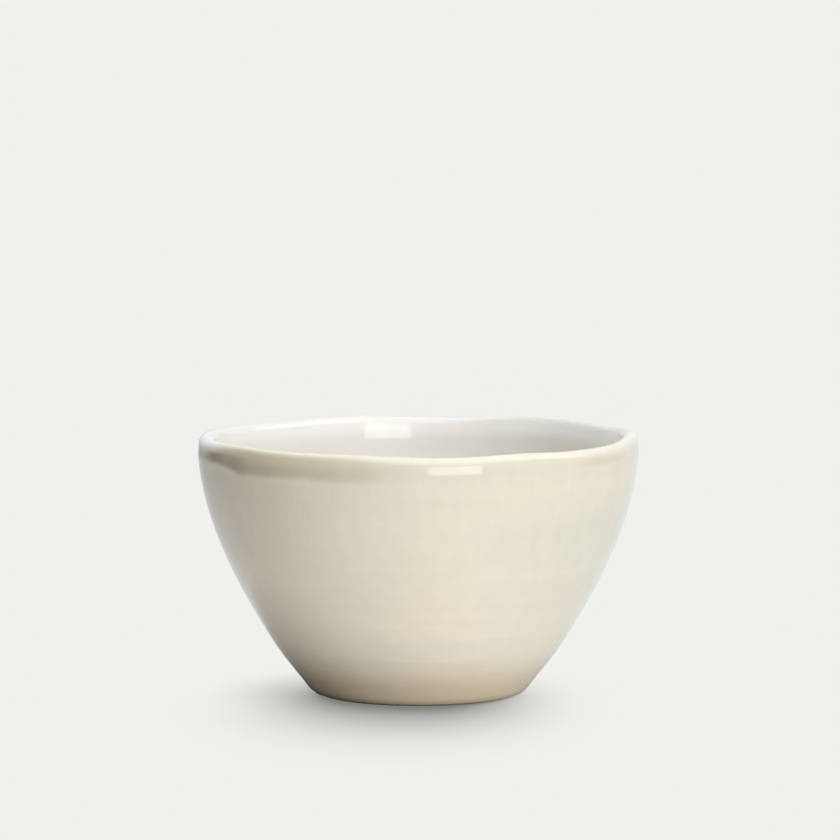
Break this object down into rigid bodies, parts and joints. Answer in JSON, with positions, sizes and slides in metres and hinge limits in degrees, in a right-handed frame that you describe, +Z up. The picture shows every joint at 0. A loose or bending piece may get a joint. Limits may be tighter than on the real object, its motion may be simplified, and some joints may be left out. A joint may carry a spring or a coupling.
{
  "type": "prep bowl",
  "caption": "Hand-thrown stoneware prep bowl with a rounded belly, softly waved rolled lip, sand glaze outside, pale glaze inside and a low bare foot ring.",
  "frame": {"origin": "centre of the standing ring, on the table", "axes": "+Z up out of the bowl's mouth, along its throwing axis; +X to the right in the picture; -Y towards the viewer"},
  "size_m": [0.12, 0.12, 0.0721],
  "materials": {
    "bare_clay": "unglazed stoneware, fine sandy grain, matte",
    "sand_glaze": "satin-gloss sand glaze, faint throwing rings and streaks",
    "honey_glaze": "glossy honey band where two glazes overlap on the lip",
    "pale_glaze": "glossy pale grey-white glaze",
    "recess_glaze": "thin satin sand glaze"
  },
  "bodies": {
    "root": {"clay_body": "bare_clay", "outside_glaze": "sand_glaze", "rim_glaze": "honey_glaze", "inside_glaze": "pale_glaze", "foot_glaze": "recess_glaze"}
  },
  "joints": []
}
